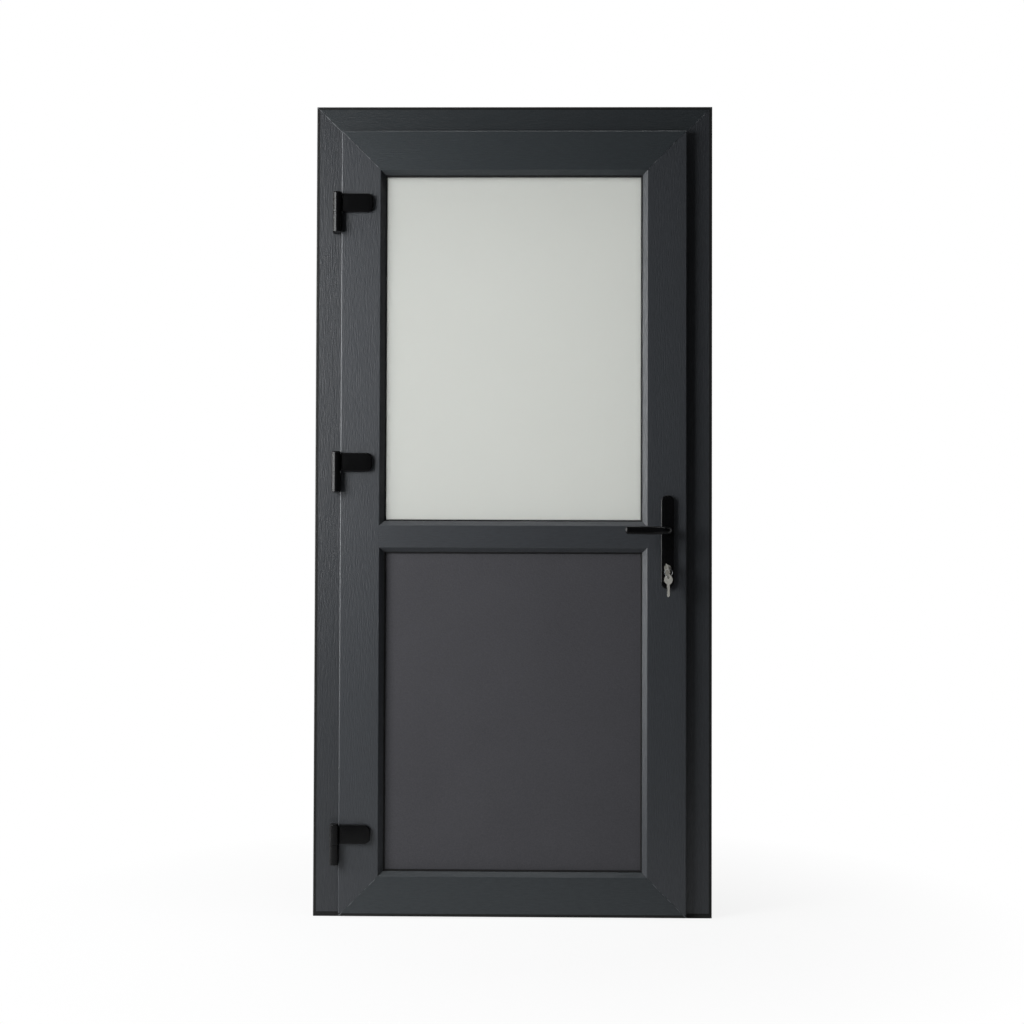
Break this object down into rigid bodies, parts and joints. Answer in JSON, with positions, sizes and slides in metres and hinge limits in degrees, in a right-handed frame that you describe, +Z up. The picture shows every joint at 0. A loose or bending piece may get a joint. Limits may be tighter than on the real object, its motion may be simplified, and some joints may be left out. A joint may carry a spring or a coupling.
{
  "type": "half-glazed hinged door with frame",
  "caption": "Half-glazed plastic door set: a mitred leaf with frosted glass over a solid panel, flag hinges, lever handles and a cylinder lock, in its frame.",
  "frame": {"origin": "middle of the sill at floor level, half way through the frame's depth", "axes": "+X towards the lock side, +Y into the room (the leaf opens towards -Y), +Z up"},
  "size_m": [0.98, 0.198, 2],
  "materials": {
    "anthracite_foil": "grained foil",
    "panel_foil": "grained foil",
    "black_fitting": "satin black",
    "zinc_steel": "zinc plated",
    "mill_aluminium": "satin",
    "black_rubber": "matt",
    "black_nylon": "matt",
    "frosted_glass": "satin etched",
    "clear_glass": "clear",
    "nickel_plate": "nickel plated",
    "blue_plastic": "moulded",
    "white_foam": "cut foam"
  },
  "bodies": {
    "frame": {"frame_head": "anthracite_foil", "frame_hinge_jamb": "anthracite_foil", "frame_lock_jamb": "anthracite_foil", "frame_steels": "zinc_steel", "threshold": "mill_aluminium", "frame_seal": "black_rubber", "strike_plate": "black_fitting", "strike_screws": "zinc_steel", "top_hinge_frame_half": "black_fitting", "middle_hinge_frame_half": "black_fitting", "bottom_hinge_frame_half": "black_fitting", "hinge_pins": "zinc_steel"},
    "leaf": {"leaf_top_rail": "anthracite_foil", "leaf_bottom_rail": "anthracite_foil", "leaf_hinge_stile": "anthracite_foil", "leaf_lock_stile": "anthracite_foil", "leaf_middle_rail": "anthracite_foil", "leaf_steels": "zinc_steel", "leaf_seal": "black_rubber", "outer_pane": "frosted_glass", "inner_pane": "clear_glass", "spacer_bar": "mill_aluminium", "edge_sealant": "black_rubber", "panel_outer_skin": "panel_foil", "panel_core": "white_foam", "panel_inner_skin": "panel_foil", "glass_beads": "anthracite_foil", "panel_beads": "anthracite_foil", "glass_gaskets": "black_rubber", "panel_gaskets": "black_rubber", "glazing_packers": "blue_plastic", "top_hinge_flag": "black_fitting", "middle_hinge_flag": "black_fitting", "bottom_hinge_flag": "black_fitting", "hinge_bushes": "black_nylon", "hinge_covers": "black_nylon", "hinge_caps": "black_nylon", "hinge_flag_screws": "zinc_steel", "outer_backplate": "black_fitting", "inner_backplate": "black_fitting", "handle_screws": "zinc_steel", "lock_case": "zinc_steel", "lock_faceplate": "zinc_steel", "faceplate_screws": "zinc_steel", "cylinder_body": "nickel_plate", "cylinder_screw": "zinc_steel", "inner_plug": "nickel_plate"},
    "lever": {"outer_lever": "black_fitting", "inner_lever": "black_fitting", "spindle": "zinc_steel", "follower": "zinc_steel"},
    "latch": {"latch_bolt": "zinc_steel"},
    "bolt": {"dead_bolt": "zinc_steel"},
    "key": {"cylinder_plug": "nickel_plate", "cylinder_cam": "zinc_steel", "key": "nickel_plate"},
    "ring": {"key_ring": "zinc_steel", "spare_key": "nickel_plate"}
  },
  "joints": [
    {"name": "leaf_swing", "type": "hinge", "parent": "frame", "child": "leaf", "pos_m": [-0.435, -0.066, 1], "axis": [0, 0, -1], "range_deg": [0, 120]},
    {"name": "lever_turn", "type": "hinge", "parent": "leaf", "child": "lever", "pos_m": [0.378, -0.02, 0.95], "axis": [0, -1, 0], "range_deg": [0, 35], "stiffness_Nm_per_rad": 2, "springref_deg": -28.65},
    {"name": "latch_slide", "type": "slide", "parent": "leaf", "child": "latch", "axis": [-1, 0, 0], "range_m": [0, 0.0145]},
    {"name": "key_turn", "type": "hinge", "parent": "leaf", "child": "key", "pos_m": [0.378, -0.02, 0.858], "axis": [0, 1, 0], "range_deg": [0, 360]},
    {"name": "bolt_slide", "type": "slide", "parent": "leaf", "child": "bolt", "axis": [1, 0, 0], "range_m": [0, 0.02]},
    {"name": "ring_swing", "type": "hinge", "parent": "key", "child": "ring", "pos_m": [0.37859, -0.0905, 0.85673], "axis": [0, 1, 0], "range_deg": [-60, 15]}
  ],
  "couplings": [
    {"joint": "latch_slide", "follows": "lever_turn", "m_per_rad": 0.02373},
    {"joint": "key_turn", "follows": "bolt_slide", "rad_per_m": 314.16}
  ]
}
